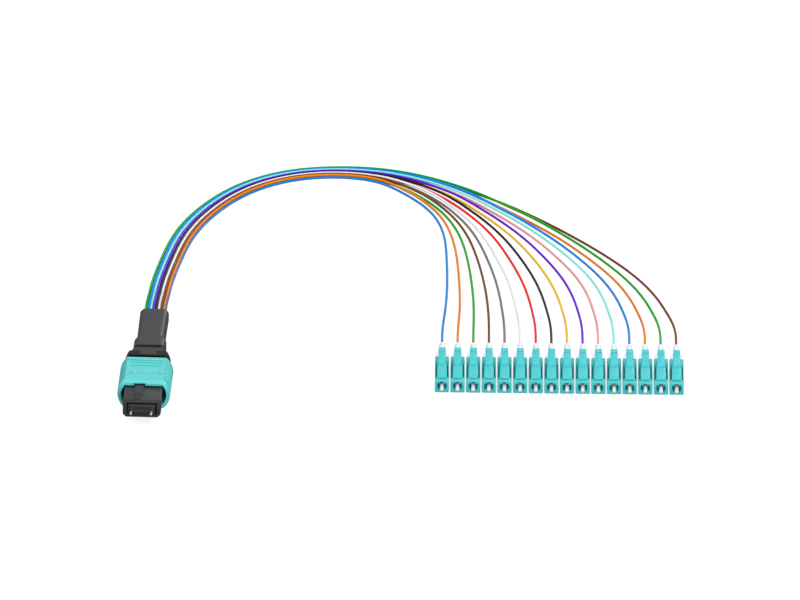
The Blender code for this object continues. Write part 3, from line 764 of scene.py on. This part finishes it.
SLEEVE_BULGE = 2.2 * MM
SLEEVE_FRONT_SLOPE = 1.15 * MM
SLEEVE_FRONT_INSET = 0.4 * MM
SLEEVE_FRONT_ROUND = 0.35 * MM
SLEEVE_BACK_ROUND = 0.35 * MM
MOUTH_WIDTH = 14.2 * MM
MOUTH_HEIGHT = 6.2 * MM
MOUTH_BULGE = 1.2 * MM
MOUTH_EDGE = 0.3 * MM
NOTCH_MIDDLE = -1.3 * MM
NOTCH_HALF = 1.65 * MM
NOTCH_RISE = 0.7 * MM
RIDGE_FIRST = 4.8 * MM
RIDGE_COUNT = 5
RIDGE_PITCH = 2.67 * MM
RIDGE_HALF = 0.62 * MM
RIDGE_DEPTH = 0.95 * MM
RIDGE_LEAN = 0.8 * MM
GROOVE_PLACE = 2.4 * MM
GROOVE_HALF = 0.75 * MM
GROOVE_DEPTH = 0.75 * MM
SLEEVE_STATIONS = 240


def ridge_depth(behind, reach):
    """How deep the grip is cut at a place this far in front of the sleeve's back, this far up its side."""
    along = behind - RIDGE_LEAN * (1.0 - abs(reach))
    nearest = min(max(round((along - RIDGE_FIRST) / RIDGE_PITCH), 0), RIDGE_COUNT - 1)
    off = abs(along - RIDGE_FIRST - nearest * RIDGE_PITCH) / RIDGE_HALF
    sides = ease((1.0 - abs(reach)) / 0.12)
    return RIDGE_DEPTH * ease(2.0 * (1.1 - off)) * sides


def groove_depth(behind, reach):
    """How deep the groove across the sleeve is at such a place. It fades out down the sides."""
    fade = 1.0 if reach is None else ease((abs(reach) - 0.4) / 0.6)
    return GROOVE_DEPTH * fade * ease(3.0 * (1.0 - abs(behind - GROOVE_PLACE) / GROOVE_HALF))


def sleeve_outer_ring(y, inset):
    """The sleeve's outside at y, with its grips and its groove, shrunk by the inset."""
    behind = SLEEVE_HIGH.y - y
    width, height = SLEEVE_HIGH.x - SLEEVE_LOW.x, SLEEVE_HIGH.z - SLEEVE_LOW.z
    marks = [(NOTCH_MIDDLE + s * NOTCH_HALF, 0.0) for s in (1, 1, -1, -1)]
    outline = bulged(width - 2 * inset, height - 2 * inset, SLEEVE_BULGE, top_marks=marks)
    ring = []
    for x, z, reach in outline:
        if reach is None or abs(reach) > 0.999:
            z -= math.copysign(groove_depth(behind, None), z)
        else:
            depth = max(ridge_depth(behind, reach), groove_depth(behind, reach))
            length = math.hypot(x, z)
            x, z = x * (1.0 - depth / length), z * (1.0 - depth / length)
        ring.append((x, y, z + PLUG_AXIS_Z))
    return ring


def sleeve_inner_ring(y, grown):
    """The sleeve's bore at y, with the notch for the key, grown outward at the mouth's edges."""
    marks = [
        (NOTCH_MIDDLE + NOTCH_HALF + grown, 0.0),
        (NOTCH_MIDDLE + NOTCH_HALF + grown, NOTCH_RISE),
        (NOTCH_MIDDLE - NOTCH_HALF - grown, NOTCH_RISE),
        (NOTCH_MIDDLE - NOTCH_HALF - grown, 0.0),
    ]
    outline = bulged(MOUTH_WIDTH + 2 * grown, MOUTH_HEIGHT + 2 * grown, MOUTH_BULGE, top_marks=marks)
    return [(x, y, z + PLUG_AXIS_Z) for x, z, _ in outline]


# What is sunk in the sleeve's top, its places measured from the sleeve's back
MARK_DEPTH = 0.32 * MM
MARK_TAPER = 0.12 * MM
BAR_PLACES = (4.8 * MM, 7.4 * MM)
BAR_LENGTH = 9.8 * MM
BAR_WIDTH = 1.2 * MM
MARK_PLACE = 13.2 * MM
MARK_SIZE = 1.7 * MM
MARK_REACH = 4.5 * MM
DASH_COUNT = 3
DASH_LENGTH = 1.4 * MM
DASH_WIDTH = 1.7 * MM
DASH_SPACING = 2.2 * MM


def add_sunk_prism(shape, corners):
    """A cutter with these corners that reaches a little into the sleeve's flat top and narrows downward."""
    top = SLEEVE_HIGH.z
    middle = Vector((sum(x for x, _ in corners) / len(corners), sum(y for _, y in corners) / len(corners)))
    loops = []
    for z, inset in ((top - MARK_DEPTH, MARK_TAPER), (top, 0.0), (top + PAST, 0.0)):
        points = []
        for corner in corners:
            reach = Vector(corner) - middle
            points.append(middle + reach * (1.0 - inset / reach.length))
        loops.append([shape.verts.new((p.x, p.y, z)) for p in points])
    for first, second in zip(loops, loops[1:]):
        for i in range(len(corners)):
            j = (i + 1) % len(corners)
            shape.faces.new((first[i], first[j], second[j], second[i]))
    shape.faces.new(loops[0])
    shape.faces.new(loops[-1])


def plate(middle_x, middle_y, length, width):
    """Corners of a bar across the sleeve."""
    a, b = length / 2.0, width / 2.0
    return [(middle_x + sx * a, middle_y + sy * b) for sx, sy in ((-1, -1), (1, -1), (1, 1), (-1, 1))]


def sleeve_marks_mesh():
    """What is sunk in the sleeve's top: two long bars, and a row of short ones between two triangles."""
    shape = bmesh.new()
    back = SLEEVE_HIGH.y
    for place in BAR_PLACES:
        add_sunk_prism(shape, plate(0.0, back - place, BAR_LENGTH, BAR_WIDTH))
    for i in range(DASH_COUNT):
        x = (i - (DASH_COUNT - 1) / 2.0) * DASH_SPACING
        add_sunk_prism(shape, plate(x, back - MARK_PLACE, DASH_LENGTH, DASH_WIDTH))
    for side in (-1, 1):
        x, y, half = side * MARK_REACH, back - MARK_PLACE, MARK_SIZE / 2.0
        add_sunk_prism(shape, [(x - half, y - half), (x + half, y - half), (x, y + half)])
    mesh = bpy.data.meshes.new("sleeve_marks")
    shape.to_mesh(mesh)
    shape.free()
    return clean(mesh)


def add_sleeve():
    """The aqua pull sleeve, one moulding: bowed grips, a groove, sunk marks and a rounded mouth."""
    front, back = SLEEVE_LOW.y, SLEEVE_HIGH.y
    rings = [sleeve_outer_ring(back - depth, inset) for inset, depth in round_over(SLEEVE_BACK_ROUND, 5)]
    start, stop = back - SLEEVE_BACK_ROUND, front + SLEEVE_FRONT_SLOPE
    for i in range(1, SLEEVE_STATIONS):
        rings.append(sleeve_outer_ring(start + (stop - start) * i / SLEEVE_STATIONS, 0.0))
    for share in (0.0, 0.1, 0.3, 0.9):
        y = stop - (SLEEVE_FRONT_SLOPE - SLEEVE_FRONT_ROUND) * share
        rings.append(sleeve_outer_ring(y, SLEEVE_FRONT_INSET * share**1.2))
    for inset, depth in reversed(round_over(SLEEVE_FRONT_ROUND, 5)):
        rings.append(sleeve_outer_ring(front + depth, SLEEVE_FRONT_INSET + inset))
    mouth = round_over(MOUTH_EDGE, 4)
    rings += [sleeve_inner_ring(front + depth, grown) for grown, depth in mouth]
    rings.append(sleeve_inner_ring((front + back) / 2.0, 0.0))
    rings += [sleeve_inner_ring(back - depth, grown) for grown, depth in reversed(mouth)]
    mesh = ring_mesh("sleeve_shell", rings, loop=True)
    sleeve = add_piece("sleeve_shell", mesh, SLEEVE_AQUA)
    combine(sleeve, add_piece("sleeve_marks", sleeve_marks_mesh()), "DIFFERENCE")
    dress(sleeve, "pull_sleeve", SLEEVE)


# Flat plug: housing, ferrule block and pins

HOUSING_HEIGHT = 5.6 * MM
HOUSING_TOP_BEVEL = 0.75 * MM
HOUSING_TOP_CORNER = 0.35 * MM
HOUSING_LOW_CORNER = 1.0 * MM
WINDOW_WIDTH = 9.4 * MM
WINDOW_HEIGHT = 4.1 * MM
WINDOW_DEPTH = 7.0 * MM
KEY_WIDTH = 2.7 * MM
# The key's front, behind the housing's, and the low part that it starts with
KEY_PLACE = 1.2 * MM
KEY_STEP = 3.1 * MM
KEY_DROP = 0.3 * MM
KEY_INSET = 0.2 * MM
PIN_CLEARANCE = 0.05 * MM
PIN_BORE_DEPTH = 5.2 * MM
FIBRE_END_PITCH = 0.335 * MM
FIBRE_END_RADIUS = 0.085 * MM


def housing_outline(drop):
    """The housing's section, with cut lower corners, and its top edge lowered by drop."""
    w, h = (HOUSING_HIGH.x - HOUSING_LOW.x) / 2.0, HOUSING_HEIGHT / 2.0
    cut, edge = HOUSING_LOW_CORNER, HOUSING_TOP_CORNER
    top = h - drop
    right = [
        (w - cut, -h),
        (w, cut - h),
        (w, top - edge),
        (w - 0.3 * edge, top - 0.3 * edge),
        (w - edge, top),
    ]
    return right + [(-x, z) for x, z in reversed(right)]


def add_housing():
    """The black inner housing: sloped front edge, window, and a key that steps up behind its front."""
    front, back = HOUSING_LOW.y, HOUSING_HIGH.y
    rings = [
        along_y(housing_outline(HOUSING_TOP_BEVEL), front, PLUG_AXIS_Z),
        along_y(housing_outline(0.0), front + HOUSING_TOP_BEVEL, PLUG_AXIS_Z),
        along_y(housing_outline(0.0), back, PLUG_AXIS_Z),
    ]
    housing = add_piece("housing_shell", ring_mesh("housing_shell", rings), BLACK)
    key_top, key_root = HOUSING_HIGH.z, PLUG_AXIS_Z + HOUSING_HEIGHT / 2.0 - PAST
    left, right = NOTCH_MIDDLE - KEY_WIDTH / 2.0, NOTCH_MIDDLE + KEY_WIDTH / 2.0
    key_front = front + KEY_PLACE
    step = key_front + KEY_STEP
    blocks = (
        ((left, step, key_root), (right, back - PAST, key_top)),
        ((left + KEY_INSET, key_front, key_root), (right - KEY_INSET, step + PAST, key_top - KEY_DROP)),
    )
    for low, high in blocks:
        combine(housing, add_piece("key_form", box_mesh("key_form", low, high, 0.15 * MM)), "UNION")
    low = (-WINDOW_WIDTH / 2.0, front - PAST, PLUG_AXIS_Z - WINDOW_HEIGHT / 2.0)
    high = (WINDOW_WIDTH / 2.0, front + WINDOW_DEPTH, PLUG_AXIS_Z + WINDOW_HEIGHT / 2.0)
    combine(housing, add_piece("window_form", box_mesh("window_form", low, high, 0.25 * MM)), "DIFFERENCE")
    soften(housing, 0.07 * MM)
    dress(housing, "plug_housing", CABLE)


def add_ferrule():
    """The ferrule block: rounded edges, two pin bores, and the ends of its fibres in a row on its face."""
    block = box_mesh("ferrule_shell", FERRULE_LOW, FERRULE_HIGH, 0.12 * MM)
    ferrule = add_piece("ferrule_shell", block, FERRULE_BLACK)
    pin_x, pin_radius = (PIN_LOW.x + PIN_HIGH.x) / 2.0, (PIN_HIGH.x - PIN_LOW.x) / 2.0
    bore_radius = pin_radius + PIN_CLEARANCE
    for side in (-1, 1):
        bore = (
            (FERRULE_LOW.y - PAST, bore_radius + PAST),
            (FERRULE_LOW.y + PIN_CLEARANCE, bore_radius),
            (FERRULE_LOW.y + PIN_BORE_DEPTH, bore_radius),
        )
        cutter = turned_mesh("pin_bore", bore, 32, side * pin_x, PLUG_AXIS_Z)
        combine(ferrule, add_piece("pin_bore", cutter), "DIFFERENCE")
    dress(ferrule, "ferrule_block", CABLE)
    ends = bmesh.new()
    turn = Matrix.Rotation(math.radians(90.0), 4, "X")
    for i in range(FIBRE_COUNT):
        x = (i - (FIBRE_COUNT - 1) / 2.0) * FIBRE_END_PITCH
        place = Matrix.Translation((x, FERRULE_LOW.y, PLUG_AXIS_Z)) @ turn
        bmesh.ops.create_cone(
            ends, cap_ends=True, segments=16, radius1=FIBRE_END_RADIUS, radius2=FIBRE_END_RADIUS,
            depth=0.04 * MM, matrix=place,
        )
    mesh = bpy.data.meshes.new("ferrule_fibre_ends")
    ends.to_mesh(mesh)
    ends.free()
    fibre_ends = add_piece("ferrule_fibre_ends", clean(mesh), GLASS_END)
    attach(fibre_ends, CABLE)


def add_pins():
    """Two ground steel guide pins with rounded, tapered tips."""
    pin_x, radius = (PIN_LOW.x + PIN_HIGH.x) / 2.0, (PIN_HIGH.x - PIN_LOW.x) / 2.0
    front = PIN_LOW.y
    profile = [(front, 0.05 * MM)]
    for i in range(1, 6):
        turn = math.radians(75.0) * i / 5
        profile.append((front + 0.22 * MM * (1.0 - math.cos(turn)), 0.28 * MM * math.sin(turn)))
    profile += [(front + 0.75 * MM, radius * 0.93), (front + 0.95 * MM, radius), (PIN_HIGH.y, radius)]
    for side, name in ((-1, "left"), (1, "right")):
        mesh = turned_mesh(f"pin_{name}", profile, 32, side * pin_x, PLUG_AXIS_Z)
        dress(add_piece(f"pin_{name}", mesh, STEEL), f"guide_pin_{name}", CABLE)


# Flat plug: rear body and boot

COLLAR_GAP = 2.8 * MM
COLLAR_FRONT_Y = SLEEVE_HIGH.y + COLLAR_GAP
COLLAR_LENGTH = 4.2 * MM
COLLAR_BULGE = 1.4 * MM
NECK_WIDTH = 12.0 * MM
NECK_HEIGHT = 7.4 * MM
NECK_LENGTH = 3.9 * MM
STEM_WIDTH = 10.0 * MM
STEM_HEIGHT = 6.0 * MM
# How far the stem runs on into the boot
STEM_SEATED = 0.8 * MM
TONGUE_WIDTH = 5.1 * MM
TONGUE_RISE = 0.22 * MM
SPIGOT_WIDTH = 11.0 * MM
SPIGOT_HEIGHT = 5.0 * MM
SPIGOT_CORNER = 0.6 * MM
BOOT_CORNER = 1.9 * MM
BOOT_EDGE = 0.55 * MM
BOOT_STATIONS = 48
BOOT_BASE_LENGTH = 5.6 * MM
BOOT_TAPER = 4.4 * MM
BOOT_WIDTH = 8.9 * MM
BOOT_HEIGHT = 5.6 * MM
BOOT_END_WIDTH = 9.2 * MM
MOUTH_DEPTH = 2.4 * MM


def bowed_section(width, height, bulge):
    """Gives the section with bowed sides shrunk by an inset, as rounded_bar asks for it."""
    return lambda inset: [(x, z) for x, z, _ in bulged(width - 2 * inset, height - 2 * inset, bulge)]


def add_rear_body():
    """The body behind the sleeve: spigot, bowed glossy collar painted near-black as shade, a tongue on top, a
    neck and a stem.
    """
    width, height = REAR_HIGH.x - REAR_LOW.x, REAR_HIGH.z - REAR_LOW.z
    collar_back = COLLAR_FRONT_Y + COLLAR_LENGTH
    neck_back = collar_back + NECK_LENGTH
    collar = rounded_bar(
        "rear_shell", bowed_section(width, height, COLLAR_BULGE), COLLAR_FRONT_Y, collar_back,
        0.3 * MM, 4, PLUG_AXIS_Z,
    )
    rear = add_piece("rear_shell", collar, COLLAR_PAINTED_SHADE, BLACK)
    neck = rounded_bar(
        "neck_form", bowed_section(NECK_WIDTH, NECK_HEIGHT, COLLAR_BULGE), collar_back - PAST, neck_back,
        0.35 * MM, 4, PLUG_AXIS_Z,
    )
    combine(rear, add_piece("neck_form", neck), "UNION")
    stem = rounded_bar(
        "stem_form", bowed_section(STEM_WIDTH, STEM_HEIGHT, 0.8 * MM), neck_back - PAST,
        BOOT_LOW.y + STEM_SEATED, 0.2 * MM, 3, PLUG_AXIS_Z,
    )
    combine(rear, add_piece("stem_form", stem), "UNION")
    spigot = rounded_bar(
        "spigot_form",
        lambda inset: rounded(SPIGOT_WIDTH - 2 * inset, SPIGOT_HEIGHT - 2 * inset, SPIGOT_CORNER),
        REAR_LOW.y, COLLAR_FRONT_Y + PAST, 0.15 * MM, 3, PLUG_AXIS_Z,
    )
    combine(rear, add_piece("spigot_form", spigot), "UNION")
    low = (-TONGUE_WIDTH / 2.0, COLLAR_FRONT_Y + 0.5 * MM, REAR_HIGH.z - 0.8 * MM)
    high = (TONGUE_WIDTH / 2.0, collar_back - 0.4 * MM, REAR_HIGH.z + TONGUE_RISE)
    combine(rear, add_piece("tongue_form", box_mesh("tongue_form", low, high, 0.15 * MM)), "UNION")
    soften(rear, 0.06 * MM, 50.0)
    # Painted shade: every face but the neck's and the raised tongue's takes the near-black painted-shade
    # colour, so spigot, collar and stem read as shaded
    for face in rear.data.polygons:
        on_neck = collar_back - 0.02 * MM < face.center.y < neck_back + 0.02 * MM
        on_tongue = face.center.z > REAR_HIGH.z + 0.01 * MM
        face.material_index = 1 if on_neck or on_tongue else 0
    dress(rear, "rear_body", CABLE)


def boot_size(behind):
    """Width and height of the boot at a place this far behind its front."""
    base_width, base_height = BOOT_HIGH.x - BOOT_LOW.x, BOOT_HIGH.z - BOOT_LOW.z
    length = BOOT_HIGH.y - BOOT_LOW.y
    narrowed = ease((behind - BOOT_BASE_LENGTH) / BOOT_TAPER)
    flared = max(0.0, (behind - BOOT_BASE_LENGTH - BOOT_TAPER) / (length - BOOT_BASE_LENGTH - BOOT_TAPER))
    width = base_width + (BOOT_WIDTH - base_width) * narrowed + (BOOT_END_WIDTH - BOOT_WIDTH) * flared
    return width, base_height + (BOOT_HEIGHT - base_height) * narrowed


def boot_section(behind, inset):
    """The boot's section this far behind its front, shrunk by the inset."""
    width, height = boot_size(behind)
    return rounded(width - 2 * inset, height - 2 * inset, BOOT_CORNER - inset, 10)


def add_boot():
    """The flat boot: rounded section, smooth taper, soft ends, and an oval mouth that the fibres leave by."""
    length = BOOT_HIGH.y - BOOT_LOW.y
    ends = round_over(BOOT_EDGE, 5)
    rings = [along_y(boot_section(0.0, inset), BOOT_LOW.y + depth, PLUG_AXIS_Z) for inset, depth in ends]
    for i in range(1, BOOT_STATIONS):
        behind = BOOT_EDGE + (length - 2 * BOOT_EDGE) * i / BOOT_STATIONS
        rings.append(along_y(boot_section(behind, 0.0), BOOT_LOW.y + behind, PLUG_AXIS_Z))
    for inset, depth in reversed(ends):
        rings.append(along_y(boot_section(length, inset), BOOT_HIGH.y - depth, PLUG_AXIS_Z))
    boot = add_piece("boot_shell", ring_mesh("boot_shell", rings), RUBBER)
    mouth_width = (FIBRE_COUNT - 1) / 2.0 * FIBRE_PITCH + FIBRE_DIAMETER + 0.3 * MM
    mouth_height = LAYER_RISE + FIBRE_DIAMETER + 0.3 * MM
    mouth = rounded_bar(
        "mouth_form", lambda inset: rounded(mouth_width - 2 * inset, mouth_height - 2 * inset, 0.6 * MM, 6),
        BOOT_HIGH.y - MOUTH_DEPTH, BOOT_HIGH.y + PAST, 0.05 * MM, 2, PLUG_AXIS_Z,
    )
    combine(boot, add_piece("mouth_form", mouth), "DIFFERENCE")
    dress(boot, "strain_relief_boot", CABLE)


def main():
    add_camera()
    pairs = add_small_plugs()
    buffers = {}
    for name, colour in FIBRE_COLOURS:
        finish = {"relief": 0.001 * MM, "tint": 0.015, "sheen": 0.14}
        buffers[name] = plastic(f"buffer_{name}", srgb(*colour), 0.28, **finish)
    for number in range(1, FIBRE_COUNT + 1):
        add_fibre(number, buffers)
    add_sleeve()
    add_housing()
    add_ferrule()
    add_pins()
    add_rear_body()
    add_boot()
    add_studio()
    add_floor()


main()
